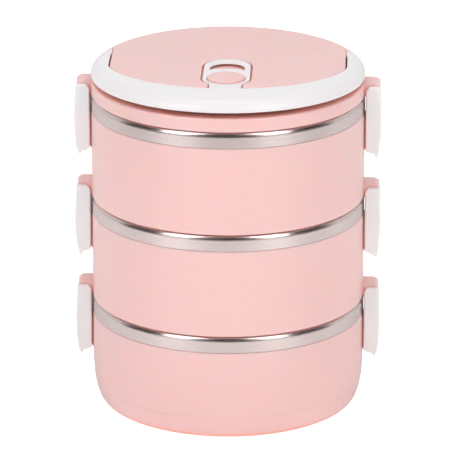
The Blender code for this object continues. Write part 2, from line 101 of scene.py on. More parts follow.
# Lid
RIM_RADIUS = 72.3 * MM
LID_TOP = 186.3 * MM
LEDGE_HEIGHT = 176.6 * MM
SHOULDER_START = 63.5 * MM
SHOULDER_HEIGHT = 5.5 * MM
RIM_INNER_RADIUS = 70.0 * MM
RIM_CEILING = 173.4 * MM
PLATFORM_CEILING = 178.6 * MM
HOLLOW_CEILING = 183.9 * MM
PLATFORM_CORE_RADIUS = 44.0 * MM
FRONT_HALF_WIDTH = 63.6 * MM
FRONT_DEPTH = 48.6 * MM
SIDE_WALL_X = 61.9 * MM
SIDE_WALL_BACK_Y = 23.4 * MM
INNER_PLATE_RADIUS = 69.6 * MM
INNER_PLATE = 2.0 * MM

# Handle, with its tongue
HANDLE_RADIUS = 72.5 * MM
HANDLE_PIVOT_Y = 16.5 * MM
HANDLE_PIVOT_Z = 182.6 * MM
HANDLE_END_Y = 22.0 * MM
HANDLE_LOBE_RADIUS = 5.4 * MM
HANDLE_LOW_SIDE = 179.2 * MM
HANDLE_FRONT_RISE = 1.5 * MM
BOSS_X = 62.2 * MM
ARM_X = 62.8 * MM
ARM_BOSS_Y = 12.6 * MM
FRONT_GAP = 0.4 * MM
TOP_FOLD = 0.4 * MM
TOP_FOLD_AT_NECK = 0.01 * MM
FOOT_FOLD = 0.8 * MM
INNER_FOLD = 0.5 * MM
STUB_RADIUS = 1.7 * MM
STUB_TIP_X = 59.6 * MM
STUB_HOLE_RADIUS = 2.0 * MM
TONGUE_HALF_WIDTH = 12.3 * MM
TONGUE_BACK_Y = -8.6 * MM
TONGUE_THICKNESS = 1.6 * MM
NECK_HALF_WIDTH = 8.4 * MM
NECK_END_Y = -51.5 * MM
SLOT_RADIUS = 9.2 * MM
SLOT_Y = -12.0 * MM
SLOT_FRONT_RADIUS = 17.9 * MM
SLOT_LIP = 0.8 * MM
SLOT_UNDERCUT = 3.0 * MM
POCKET_HALF_WIDTH = 13.3 * MM
POCKET_BACK_Y = -9.0 * MM
POCKET_NECK_HALF_WIDTH = 9.1 * MM
POCKET_FLOOR = 184.2 * MM

# Vent plug
VENT_Y = -31.2 * MM
VENT_RADIUS = 9.8 * MM
VENT_HOLE_RADIUS = 10.15 * MM
VENT_TOP = 187.4 * MM
VENT_STEM_RADIUS = 4.0 * MM
VENT_STEM_HOLE_RADIUS = 4.4 * MM
VENT_FLANGE_RADIUS = 5.4 * MM
VENT_FLANGE_TOP = 166.5 * MM
VENT_FLANGE = 1.2 * MM
VENT_SEAL_RADIUS = 7.6 * MM
VENT_SEAL_SEAT = 182.7 * MM
VENT_SEAL_SEAT_RADIUS = 7.9 * MM

# Latches, with heights counted from the lower edge of the steel band
LATCH_PIVOT_X = 76.8 * MM
LATCH_PIVOT_RISE = 11.3 * MM
LATCH_HALF_WIDTH = 9.0 * MM
LATCH_CAVITY_HALF_WIDTH = 7.4 * MM
LUG_HALF_WIDTH = 7.1 * MM
CATCH_HALF_WIDTH = 6.6 * MM
LIP_HALF_WIDTH = 4.5 * MM
PIN_RADIUS = 1.0 * MM
PIN_HOLE_RADIUS = 1.15 * MM
PIN_HALF_LENGTH = 8.2 * MM
PIN_HOLE_HALF_LENGTH = 8.4 * MM

# Side outlines in millimetres: distance from the axis, height above the band, corner radius
LATCH_OUTLINE = [
    (74.6, 14.8, 1.4), (80.5, 14.8, 1.1), (81.1, 6.0, 9.0), (81.4, -3.0, 12.0), (81.2, -12.0, 12.0),
    (80.4, -20.4, 3.0), (79.6, -22.6, 1.2), (77.6, -22.6, 3.0), (73.8, -21.4, 1.6), (72.8, -20.0, 1.4),
    (72.8, 12.2, 2.2),
]
LATCH_CAVITY_OUTLINE = [
    (70.0, 20.0, 0.0), (84.0, 20.0, 0.0), (84.0, 7.4, 0.0), (79.4, 7.0, 0.3), (79.7, -3.0, 8.0),
    (79.4, -12.0, 8.0), (78.8, -19.0, 0.8), (75.6, -19.0, 0.3), (75.6, -25.0, 0.0), (70.0, -25.0, 0.0),
]
LIP_OUTLINE = [
    (77.7, -21.3, 0.0), (79.9, -21.3, 0.0), (79.7, -24.7, 0.7), (78.8, -25.8, 0.6), (77.9, -25.0, 0.6),
]
LUG_OUTLINE = [
    (71.0, 9.3, 0.0), (74.0, 8.3, 2.0), (78.6, 8.3, 1.5), (80.2, 10.0, 1.5), (80.2, 16.3, 2.8),
    (71.0, 16.3, 0.0),
]
CATCH_OUTLINE = [
    (70.9, -1.6, 0.0), (72.9, -2.6, 0.6), (73.6, -12.0, 6.0), (75.2, -16.2, 0.8), (75.2, -18.2, 0.6),
    (73.3, -19.0, 0.5), (70.9, -24.0, 0.0),
]

TIERS = ("base", "middle", "top")
SIDES = {"left": -1.0, "right": 1.0}


# ---------------------------------------------------------------- outlines

def arc(centre, radius, first, last, steps):
    """Points on a circle between two angles in degrees, both ends included."""
    points = []
    for step in range(steps + 1):
        angle = math.radians(first + (last - first) * step / steps)
        points.append((centre[0] + radius * math.cos(angle), centre[1] + radius * math.sin(angle)))
    return points


def ellipse(centre, half_width, half_height, first, last, steps):
    return [
        (centre[0] + half_width * x, centre[1] + half_height * z)
        for x, z in arc((0.0, 0.0), 1.0, first, last, steps)
    ]


def filleted(corners, steps=4, closed=True):
    """An outline with each corner (a, b, radius) rounded by an arc."""
    points = []
    for index, (a, b, radius) in enumerate(corners):
        here = Vector((a, b))
        end_point = not closed and index in (0, len(corners) - 1)
        if radius == 0.0 or end_point:
            points.append(tuple(here))
            continue
        before = Vector(corners[index - 1][:2]) - here
        after = Vector(corners[(index + 1) % len(corners)][:2]) - here
        half = before.angle(after) / 2.0
        reach = min(radius / math.tan(half), 0.48 * before.length, 0.48 * after.length)
        middle = (before.normalized() + after.normalized()).normalized()
        centre = here + middle * reach / math.cos(half)
        first = here + before.normalized() * reach - centre
        last = here + after.normalized() * reach - centre
        spread = first.angle(last)
        for step in range(steps + 1):
            share = step / steps
            turn = first * math.sin((1.0 - share) * spread) + last * math.sin(share * spread)
            points.append(tuple(centre + turn / math.sin(spread)))
    return points


def in_metres(corners):
    return [(a * MM, b * MM, radius * MM) for a, b, radius in corners]


# ---------------------------------------------------------------- solids

def skin(bm, ring, other):
    """Joins two rings of points; a ring of one point is the tip of a cone."""
    count = max(len(ring), len(other))
    if count == 1:
        return
    for index in range(count):
        following = (index + 1) % count
        corners = [ring[index % len(ring)], ring[following % len(ring)]]
        corners += [other[following % len(other)], other[index % len(other)]]
        bm.faces.new(list(dict.fromkeys(corners)))


def turned(outline, centre_y=0.0, segments=TURNED_SEGMENTS, closed=False):
    """A (radius, height) outline turned about a vertical axis; an open one is capped at both ends."""
    bm = bmesh.new()
    rings = []
    for radius, height in outline:
        if radius == 0.0:
            rings.append([bm.verts.new((0.0, centre_y, height))])
            continue
        ring = []
        for index in range(segments):
            angle = 2.0 * math.pi * index / segments
            ring.append(bm.verts.new((radius * math.cos(angle), centre_y + radius * math.sin(angle), height)))
        rings.append(ring)
    for ring, other in zip(rings, rings[1:]):
        skin(bm, ring, other)
    if closed:
        skin(bm, rings[-1], rings[0])
    else:
        for ring in (rings[0], rings[-1]):
            if len(ring) > 1:
                bm.faces.new(ring)
    bmesh.ops.recalc_face_normals(bm, faces=bm.faces)
    return bm


def prism(outline, start, end, place):
    """A prism: place(a, b, depth) gives the point of outline point (a, b) at that depth."""
    bm = bmesh.new()
    low = [bm.verts.new(place(a, b, start)) for a, b in outline]
    high = [bm.verts.new(place(a, b, end)) for a, b in outline]
    bm.faces.new(low)
    bm.faces.new(high)
    skin(bm, low, high)
    bmesh.ops.recalc_face_normals(bm, faces=bm.faces)
    return bm


def plan_prism(outline, low, high):
    return prism(outline, low, high, lambda x, y, z: (x, y, z))


def side_prism(corners_mm, half_width, side, base_z):
    """A prism across Y from a side outline with rounded corners."""
    outline = [(side * x, base_z + z) for x, z in filleted(in_metres(corners_mm))]
    return prism(outline, -half_width, half_width, lambda x, z, y: (x, y, z))


def rod(radius, start, end, place, sides=32):
    return prism(arc((0.0, 0.0), radius, 0.0, 360.0 - 360.0 / sides, sides - 1), start, end, place)


def round_edges(bm, width, steps, chosen):
    """Rounds the sharp outer edges that `chosen` picks."""
    edges = []
    for edge in bm.edges:
        if len(edge.link_faces) == 2 and edge.calc_face_angle_signed(0.0) > EDGE_ANGLE and chosen(edge):
            edges.append(edge)
    bmesh.ops.bevel(
        bm, geom=edges, offset=width, offset_type="OFFSET", segments=steps, profile=0.5,
        affect="EDGES", clamp_overlap=False,
    )
    return bm


def everywhere(edge):
    return True


def round_side(edge):
    """True for an edge of a side prism's two flat faces."""
    return abs(edge.verts[0].co.y - edge.verts[1].co.y) < LEVEL


def combined(bm, tool, operation):
    """One solid after adding or removing the other; both inputs are used up."""
    made = []
    for source in (bm, tool):
        bmesh.ops.recalc_face_normals(source, faces=source.faces)
        mesh = bpy.data.meshes.new("helper")
        source.to_mesh(mesh)
        source.free()
        item = bpy.data.objects.new("helper", mesh)
        bpy.context.scene.collection.objects.link(item)
        made.append(item)
    modifier = made[0].modifiers.new("combine", "BOOLEAN")
    modifier.operation = operation
    modifier.solver = "EXACT"
    modifier.object = made[1]
    result = bmesh.new()
    result.from_object(made[0], bpy.context.evaluated_depsgraph_get())
    for item in made:
        mesh = item.data
        bpy.data.objects.remove(item)
        bpy.data.meshes.remove(mesh)
    if not result.faces:
        raise ValueError("a Boolean left nothing: one of its solids crosses itself")
    bmesh.ops.remove_doubles(result, verts=result.verts, dist=WELD)
    return result


# ---------------------------------------------------------------- materials

# Painted shade: reach and softness of the ambient-occlusion mask that paints a warmer, deeper colour into
# narrow gaps of the pink plastic, in place of light bounced between parts
GAP_SHADE_REACH = 6.0 * MM
GAP_SHADE_OPENNESS = (0.6, 0.12)


class Nodes:
    """Short calls for building the node tree of a material or of the world."""

    def __init__(self, owner, shader, place):
        owner.use_nodes = True
        self.owner = owner
        self.tree = owner.node_tree
        self.shader = self.tree.nodes[shader]
        self.place = self.add("ShaderNodeTexCoord").outputs[place]

    def add(self, kind, **settings):
        node = self.tree.nodes.new(kind)
        for key, value in settings.items():
            setattr(node, key, value)
        return node

    def link(self, output, target):
        self.tree.links.new(output, target)

    def noise(self, scale, detail=3.0, place=None):
        node = self.add("ShaderNodeTexNoise")
        node.inputs["Scale"].default_value = scale
        node.inputs["Detail"].default_value = detail
        self.link(place or self.place, node.inputs["Vector"])
        return node.outputs["Fac"]

    def ramp(self, factor, low, high, first=0.3, last=0.7):
        """Maps a texture onto a range of grey values or colours."""
        node = self.add("ShaderNodeValToRGB")
        for element, position, value in zip(node.color_ramp.elements, (first, last), (low, high)):
            element.position = position
            element.color = (*value, 1.0) if isinstance(value, tuple) else (value, value, value, 1.0)
        self.link(factor, node.inputs["Fac"])
        return node.outputs["Color"]

    def axes(self):
        """The X, Y and Z of the place that is being shaded."""
        split = self.add("ShaderNodeSeparateXYZ")
        self.link(self.place, split.inputs[0])
        return [split.outputs[axis] for axis in "XYZ"]

    def maths(self, operation, first, second=None):
        node = self.add("ShaderNodeMath", operation=operation)
        self.link(first, node.inputs[0])
        if isinstance(second, float):
            node.inputs[1].default_value = second
        elif second is not None:
            self.link(second, node.inputs[1])
        return node.outputs[0]

    def between(self, value, low, high, first=0.0, last=1.0):
        """Eases a value from `first` to `last` as it goes from low to high."""
        node = self.add("ShaderNodeMapRange", interpolation_type="SMOOTHSTEP")
        for socket, number in zip(("From Min", "From Max", "To Min", "To Max"), (low, high, first, last)):
            node.inputs[socket].default_value = number
        self.link(value, node.inputs["Value"])
        return node.outputs["Result"]

    def mixed(self, factor, first, second):
        """Goes from the first colour to the second as the factor rises."""
        node = self.add("ShaderNodeMix", data_type="RGBA")
        self.link(factor, node.inputs["Factor"])
        self.link(first, node.inputs["A"])
        node.inputs["B"].default_value = (*second, 1.0)
        return node.outputs["Result"]

    def gap(self):
        """Mask of the painted shade: 0 on open surfaces, rising to 1 inside a crevice narrower than the
        ambient-occlusion reach set above.
        """
        node = self.add("ShaderNodeAmbientOcclusion", samples=6)
        node.inputs["Distance"].default_value = GAP_SHADE_REACH
        return self.between(node.outputs["AO"], *GAP_SHADE_OPENNESS)

    def bump(self, height, depth, strength, normal=None):
        node = self.add("ShaderNodeBump")
        node.inputs["Distance"].default_value = depth
        node.inputs["Strength"].default_value = strength
        self.link(height, node.inputs["Height"])
        if normal is not None:
            self.link(normal, node.inputs["Normal"])
        return node.outputs["Normal"]

    def turned_place(self, along, across):
        """Coordinates that run round the axis: slow along the turning direction, fast across it."""
        x, y, z = self.axes()
        angle = self.maths("ARCTAN2", y, x)
        flat = self.add("ShaderNodeVectorMath", operation="MULTIPLY")
        flat.inputs[1].default_value = (1.0, 1.0, 0.0)
        self.link(self.place, flat.inputs[0])
        radius = self.add("ShaderNodeVectorMath", operation="LENGTH")
        self.link(flat.outputs[0], radius.inputs[0])
        joined = self.add("ShaderNodeCombineXYZ")
        scaled = ((angle, along), (radius.outputs["Value"], across), (z, across))
        for (value, scale), socket in zip(scaled, joined.inputs):
            self.link(self.maths("MULTIPLY", value, scale), socket)
        return joined.outputs[0]


def material_nodes(name):
    return Nodes(bpy.data.materials.new(name), "Principled BSDF", "Object")


def moulded_plastic(name, colour, deeper, rough, glow, glow_depth, painted_gap_shade=None):
    """Satin moulded plastic: faint colour drift, uneven gloss, a fine skin, and painted shade, a warmer,
    deeper colour painted into gaps where light bounces between parts.
    """
    nodes = material_nodes(name)
    shader = nodes.shader
    surface = nodes.ramp(nodes.noise(22.0, 4.0), deeper, colour)
    if painted_gap_shade:
        # painted shade: a deeper orange colour is mixed in wherever the ambient-occlusion mask finds a narrow
        # crevice
        surface = nodes.mixed(nodes.gap(), surface, painted_gap_shade)
    nodes.link(surface, shader.inputs["Base Color"])
    nodes.link(nodes.ramp(nodes.noise(70.0, 5.0), rough - 0.04, rough + 0.05), shader.inputs["Roughness"])
    flow = nodes.bump(nodes.noise(45.0, 2.0), 0.05 * MM, 0.25)
    grain = nodes.bump(nodes.noise(2600.0, 2.0), 0.01 * MM, 0.35, flow)
    nodes.link(grain, shader.inputs["Normal"])
    shader.inputs["IOR"].default_value = 1.48
    shader.inputs["Coat Weight"].default_value = 0.12
    shader.inputs["Coat Roughness"].default_value = 0.12
    shader.inputs["Subsurface Weight"].default_value = 0.5
    shader.inputs["Subsurface Radius"].default_value = glow
    shader.inputs["Subsurface Scale"].default_value = glow_depth
    return nodes.owner


def white_plastic(name, colour, deeper):
    return moulded_plastic(name, colour, deeper, 0.34, (1.0, 0.9, 0.85), 1.5 * MM)


def spun_steel(name, colour, deeper, rough):
    """Pressed and polished stainless sheet with faint lines that run round the axis."""
    nodes = material_nodes(name)
    shader = nodes.shader
    place = nodes.turned_place(3.0, 5200.0)
    lines = nodes.noise(1.0, 3.0, place)
    nodes.link(nodes.ramp(nodes.noise(30.0, 3.0), deeper, colour), shader.inputs["Base Color"])
    nodes.link(nodes.ramp(lines, rough - 0.03, rough + 0.05), shader.inputs["Roughness"])
    nodes.link(nodes.bump(lines, 0.004 * MM, 0.2), shader.inputs["Normal"])
    shader.inputs["Metallic"].default_value = 1.0
    shader.inputs["Anisotropic"].default_value = 0.8
    shader.inputs["Anisotropic Rotation"].default_value = 0.25
    tangent = nodes.add("ShaderNodeTangent", direction_type="RADIAL", axis="Z")
    nodes.link(tangent.outputs["Tangent"], shader.inputs["Tangent"])
    return nodes.owner


def drawn_wire(name):
    nodes = material_nodes(name)
    shader = nodes.shader
    colour = nodes.ramp(nodes.noise(400.0), (0.52, 0.51, 0.50), (0.68, 0.67, 0.66))
    nodes.link(colour, shader.inputs["Base Color"])
    nodes.link(nodes.ramp(nodes.noise(900.0), 0.18, 0.34), shader.inputs["Roughness"])
    nodes.link(nodes.bump(nodes.noise(2500.0), 0.01 * MM, 0.3), shader.inputs["Normal"])
    shader.inputs["Metallic"].default_value = 1.0
    return nodes.owner


def silicone_rubber(name):
    nodes = material_nodes(name)
    shader = nodes.shader
    colour = nodes.ramp(nodes.noise(40.0), (0.72, 0.70, 0.67), (0.80, 0.78, 0.76))
    nodes.link(colour, shader.inputs["Base Color"])
    nodes.link(nodes.ramp(nodes.noise(120.0), 0.40, 0.58), shader.inputs["Roughness"])
    nodes.link(nodes.bump(nodes.noise(1500.0), 0.02 * MM, 0.4), shader.inputs["Normal"])
    shader.inputs["Subsurface Weight"].default_value = 0.25
    shader.inputs["Subsurface Radius"].default_value = (1.0, 0.9, 0.8)
    shader.inputs["Subsurface Scale"].default_value = 1.5 * MM
    shader.inputs["IOR"].default_value = 1.41
    return nodes.owner


MATERIALS = {
    "pink_plastic": moulded_plastic(
        "pink_plastic_look", (0.925, 0.605, 0.585), (0.915, 0.59, 0.57), 0.36, (1.0, 0.3, 0.2), 3.0 * MM,
        # painted shade: the orange colour painted into the crevices between pink parts
        painted_gap_shade=(0.98, 0.36, 0.26),
    ),
    # painted light: the latches take a lighter copy of the white plastic, painted brighter than the handle's
    # to stand in for light reaching them from the sides
    "latch_lit_white": white_plastic("latch_lit_white_look", (0.975, 0.96, 0.965), (0.965, 0.95, 0.955)),
    "white_plastic": white_plastic("white_plastic_look", (0.89, 0.872, 0.88), (0.875, 0.857, 0.865)),
    "stainless_steel": spun_steel("stainless_steel_look", (0.665, 0.57, 0.555), (0.635, 0.54, 0.525), 0.26),
    "steel_pin": drawn_wire("steel_pin_look"),
    "silicone": silicone_rubber("silicone_look"),
}


def show(node, bm, slot, look=None):
    """Turns a bmesh into the finished piece for a CAD node; `look` is a material other than the slot's."""
    bmesh.ops.remove_doubles(bm, verts=bm.verts, dist=WELD)
    bmesh.ops.recalc_face_normals(bm, faces=bm.faces)
    mesh = bpy.data.meshes.new("look_" + node)
    bm.to_mesh(mesh)
    bm.free()
    mesh.materials.append(MATERIALS[look or slot])
    mesh.shade_smooth()
    mesh.set_sharp_from_angle(angle=SMOOTH_ANGLE)
    item = bpy.data.objects.new("look_" + node, mesh)
    bpy.context.scene.collection.objects.link(item)
    shading = item.modifiers.new("weighted_normals", "WEIGHTED_NORMAL")
    shading.keep_sharp = True
    shading.weight = 100
    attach(item, frame["nodes"][node]["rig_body"])
    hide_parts(node)


# ---------------------------------------------------------------- tiers

def lip_top(tier):
    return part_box(TIERS[tier] + "_bowl")[1].z


def band_low(tier):
    return lip_top(tier) - BAND_HEIGHT


def bottom_of(tier):
    """Height of the underside of a tier; the lid counts as the tier above the top one."""
    return lip_top(tier - 1) + GAP


def shell_upper_corners(tier):
    """The outer wall's top, the step behind the band, and the inner wall's top."""
    low = band_low(tier)
    top = low + BAND_HEIGHT - TONGUE_DROP
    return [
        (BODY_RADIUS, low, 0.12 * MM), (TONGUE_RADIUS, low, 0.0),
        (TONGUE_RADIUS, top, 0.3 * MM), (SHELL_INNER_RADIUS, top, 0.3 * MM),
    ]


def wall_bulge(height):
    """Radius of the base's outer wall, which curves in towards the foot."""
    share = max(0.0, 1.0 - height / BASE_CORNER_HEIGHT)
    return BASE_FLAT_RADIUS + (BODY_RADIUS - BASE_FLAT_RADIUS) * math.sqrt(1.0 - share * share)


def base_shell_outline():
    """The base from the middle of its underside, out and up round the wall, to the middle inside."""
    outline = [(0.0, 0.9 * MM), (8.0 * MM, 0.9 * MM), (8.5 * MM, 1.2 * MM), (50.0 * MM, 1.2 * MM)]
    outline += [(50.6 * MM, 0.9 * MM), (52.0 * MM, 0.9 * MM), (53.4 * MM, 0.15 * MM), (54.0 * MM, 0.0)]
    outline += [(BASE_FLAT_RADIUS - 2.0 * MM, 0.0)]
    heights = [BASE_CORNER_HEIGHT * (1.0 - math.cos(math.radians(6.0 * step))) for step in range(16)]
    heights = [height for height in heights if abs(height - BASE_LINE_HEIGHT) > 0.6 * MM]
    dents = {}
    for offset, depth in ((-0.45, 0.0), (-0.15, BASE_LINE_DEPTH), (0.15, BASE_LINE_DEPTH), (0.45, 0.0)):
        dents[BASE_LINE_HEIGHT + offset * MM] = depth
    for height in sorted(heights + list(dents)):
        outline.append((wall_bulge(height) - dents.get(height, 0.0), height))
    wall_middle = 30.0 * MM
    upper = [(BODY_RADIUS, wall_middle, 0.0)] + shell_upper_corners(0)
    outline += filleted(upper + [(SHELL_INNER_RADIUS, wall_middle, 0.0)], 3)[1:-1]
    corner_radius = BOWL_CORNER + STEEL
    centre = (SHELL_INNER_RADIUS - corner_radius, BASE_FLOOR + corner_radius)
    return outline + arc(centre, corner_radius, 0.0, -90.0, 10) + [(0.0, BASE_FLOOR)]


def plug_corners(under):
    """Outer side of the plug below the level `under`, from its inner foot to its top."""
    foot = under - PLUG_DEPTH
    return [
        (PLUG_INNER_RADIUS, foot, 0.5 * MM), (PLUG_FLANGE_RADIUS, foot, 0.35 * MM),
        (PLUG_FLANGE_RADIUS, foot + PLUG_FLANGE, 0.35 * MM), (PLUG_RADIUS, foot + PLUG_FLANGE, 0.0),
    ]


def upper_shell_outline(tier):
    under = bottom_of(tier)
    floor = under + SHELL_FLOOR
    corners = [(0.0, under, 0.0), (PLUG_INNER_RADIUS, under, 0.8 * MM)] + plug_corners(under)
    corners += [(PLUG_RADIUS, under, 0.3 * MM), (BODY_RADIUS, under, 1.2 * MM)] + shell_upper_corners(tier)
    corners += [(SHELL_INNER_RADIUS, floor, 3.5 * MM), (0.0, floor, 0.0)]
    return filleted(corners, 5, closed=False)


def bowl_outline(tier):
    """Thin steel bowl whose rolled lip turns down outside as the visible band."""
    lip = lip_top(tier)
    floor = (BASE_FLOOR if tier == 0 else bottom_of(tier) + SHELL_FLOOR) + GAP
    outer = BOWL_INNER_RADIUS + STEEL
    centre = (outer - BOWL_CORNER, floor + BOWL_CORNER)
    lip_centre = ((BOWL_INNER_RADIUS + BAND_RADIUS) / 2.0, lip - LIP_ROUND)
    lip_half = (BAND_RADIUS - BOWL_INNER_RADIUS) / 2.0
    foot = lip - BAND_HEIGHT + 0.12 * MM
    outline = [(0.0, floor), (30.0 * MM, floor)] + arc(centre, BOWL_CORNER, -90.0, 0.0, 12)
    outline += ellipse(lip_centre, lip_half - STEEL, LIP_ROUND - STEEL, 180.0, 0.0, 12)
    outline += [(BAND_RADIUS - STEEL, foot + 0.2 * MM), (BAND_RADIUS - 0.4 * MM, foot)]
    outline += [(BAND_RADIUS - 0.2 * MM, foot), (BAND_RADIUS, foot + 0.2 * MM)]
    outline += ellipse(lip_centre, lip_half, LIP_ROUND, 0.0, 180.0, 20)
    outline += arc(centre, BOWL_CORNER - STEEL, 0.0, -90.0, 12)
    return outline + [(30.0 * MM, floor + STEEL), (0.0, floor + STEEL)]


def seal_outline(tier):
    """Sealing ring round the plug, with two soft lips towards the bowl."""
    under = bottom_of(tier)
    low = under - PLUG_DEPTH + PLUG_FLANGE + GAP
    high = under - 0.6 * MM
    inner = PLUG_RADIUS + GAP
    waist = SEAL_RADIUS - 0.7 * MM
    rise = high - low
    corners = [(inner, low, 0.2 * MM), (waist, low, 0.3 * MM)]
    for share in (0.3, 0.75):
        middle = low + share * rise
        corners += [(waist, middle - 0.7 * MM, 0.2 * MM), (SEAL_RADIUS, middle, 0.3 * MM)]
        corners += [(waist, middle + 0.7 * MM, 0.2 * MM)]
    return filleted(corners + [(waist, high, 0.3 * MM), (inner, high, 0.2 * MM)], 3)


def pin_rod(tier, side, radius, half, sides=24):
    x_axis = side * LATCH_PIVOT_X
    z_axis = band_low(tier - 1) + LATCH_PIVOT_RISE
    return rod(radius, -half, half, lambda x, z, y: (x_axis + x, y, z_axis + z), sides)


def with_lugs(bm, tier):
    """Adds the hinge lugs that carry the latches below an upper tier or the lid."""
    for side in SIDES.values():
        lug = side_prism(LUG_OUTLINE, LUG_HALF_WIDTH, side, band_low(tier - 1))
        round_edges(lug, 1.2 * MM, 5, round_side)
        bm = combined(bm, lug, "UNION")
        bm = combined(bm, pin_rod(tier, side, PIN_HOLE_RADIUS, PIN_HOLE_HALF_LENGTH), "DIFFERENCE")
    return bm


def with_catches(bm, tier):
    for side in SIDES.values():
        catch = side_prism(CATCH_OUTLINE, CATCH_HALF_WIDTH, side, band_low(tier))
        round_edges(catch, 0.4 * MM, 3, round_side)
        bm = combined(bm, catch, "UNION")
    return bm


def make_tier(tier):
    name = TIERS[tier]
    if tier == 0:
        shell = turned(base_shell_outline())
    else:
        shell = with_lugs(turned(upper_shell_outline(tier)), tier)
        show(name + "_seal", turned(seal_outline(tier), closed=True), "silicone")
    show(name + "_shell", with_catches(shell, tier), "pink_plastic")
    show(name + "_bowl", turned(bowl_outline(tier)), "stainless_steel")


def make_latch(owner, tier, side_name, side):
    """A rounded channel with a hook, a finger lip and pin holes; then its steel pin."""
    low = band_low(tier - 1)
    latch = side_prism(LATCH_OUTLINE, LATCH_HALF_WIDTH, side, low)
    round_edges(latch, 0.95 * MM, 5, round_side)
    lip = side_prism(LIP_OUTLINE, LIP_HALF_WIDTH, side, low)
    round_edges(lip, 0.45 * MM, 3, round_side)
    cavity = side_prism(LATCH_CAVITY_OUTLINE, LATCH_CAVITY_HALF_WIDTH, side, low)
    latch = combined(latch, cavity, "DIFFERENCE")
    latch = combined(latch, lip, "UNION")
    latch = combined(latch, pin_rod(tier, side, PIN_HOLE_RADIUS, PIN_HOLE_HALF_LENGTH), "DIFFERENCE")
    # painted light: the latch is given the lighter copy of the white plastic
    show(f"{owner}_latch_{side_name}", latch, "white_plastic", "latch_lit_white")
    pin = round_edges(pin_rod(tier, side, PIN_RADIUS, PIN_HALF_LENGTH), 0.25 * MM, 2, everywhere)
    show(f"{owner}_latch_pin_{side_name}", pin, "steel_pin")


# ---------------------------------------------------------------- lid

def shoulder_height(radius, outer_radius):
    """Height of the rounded top of the lid or handle at a distance from the axis."""
    if radius <= SHOULDER_START:
        return LID_TOP
    share = min(1.0, (radius - SHOULDER_START) / (outer_radius - SHOULDER_START))
    return LID_TOP - SHOULDER_HEIGHT * (1.0 - math.sqrt(1.0 - share * share))


def front_edge(extra, first_x, last_x, steps):
    """The platform's elliptical front edge moved outwards by `extra`, between two places along X."""
    half_width = FRONT_HALF_WIDTH + extra
    first = math.degrees(math.asin(first_x / half_width)) - 90.0
    last = math.degrees(math.asin(last_x / half_width)) - 90.0
    return ellipse((0.0, 0.0), half_width, FRONT_DEPTH + extra, first, last, steps)


def lid_outline():
    under = bottom_of(3)
    corners = [
        (PLATFORM_CORE_RADIUS, PLATFORM_CEILING, 0.0), (PLATFORM_CORE_RADIUS, RIM_CEILING, 0.0),
        (RIM_INNER_RADIUS, RIM_CEILING, 0.6 * MM), (RIM_INNER_RADIUS, under, 0.4 * MM),
        (RIM_RADIUS, under, 0.6 * MM), (RIM_RADIUS, LID_TOP - SHOULDER_HEIGHT, 0.0),
    ]
    outline = filleted(corners, 4, closed=False)
    centre = (SHOULDER_START, LID_TOP - SHOULDER_HEIGHT)
    return outline + ellipse(centre, RIM_RADIUS - SHOULDER_START, SHOULDER_HEIGHT, 0.0, 90.0, 16)[1:]


def handle_bay_outline():
    far = 2.0 * HANDLE_RADIUS
    outline = [(-far, SIDE_WALL_BACK_Y), (-SIDE_WALL_X, SIDE_WALL_BACK_Y)]
    outline += front_edge(0.0, -SIDE_WALL_X, SIDE_WALL_X, 96)
    return outline + [(SIDE_WALL_X, SIDE_WALL_BACK_Y), (far, SIDE_WALL_BACK_Y), (far, -far), (-far, -far)]


def hollow_outline(side):
    """Lightening hollow under one half of the platform."""
    near_x, far_x, back, wall = 17.0 * MM, 58.5 * MM, 60.0 * MM, 2.4 * MM
    first, last = (math.degrees(math.acos(x / back)) for x in (far_x, near_x))
    outline = arc((0.0, 0.0), back, first, last, 20)
    outline += front_edge(-wall, near_x, far_x, 24)
    return [(side * x, y) for x, y in outline]


def paddle_outline(half_width, back_y, neck_half_width, neck_end_y):
    """Round-ended paddle in plan, joined to a narrower neck that runs to the front."""
    outline = arc((0.0, back_y), half_width, 0.0, 180.0, 44)
    fall = math.degrees(math.acos(neck_half_width / half_width))
    outline += arc((0.0, VENT_Y), half_width, 180.0, 180.0 + fall, 14)
    outline += [(-neck_half_width, neck_end_y), (neck_half_width, neck_end_y)]
    return outline + arc((0.0, VENT_Y), half_width, -fall, 0.0, 14)


def slot_outline():
    """Finger slot of the tongue: round at the back, and hollow towards the vent plug."""
    half = math.degrees(math.asin(SLOT_RADIUS / SLOT_FRONT_RADIUS))
    outline = arc((0.0, SLOT_Y), SLOT_RADIUS, 0.0, 180.0, 32)
    return outline + arc((0.0, VENT_Y), SLOT_FRONT_RADIUS, 90.0 + half, 90.0 - half, 20)


def stem_rod(radius, low, high, sides=64):
    return rod(radius, low, high, lambda x, y, z: (x, VENT_Y + y, z), sides)


def handle_axis(y, z, x):
    return (x, HANDLE_PIVOT_Y + y, HANDLE_PIVOT_Z + z)


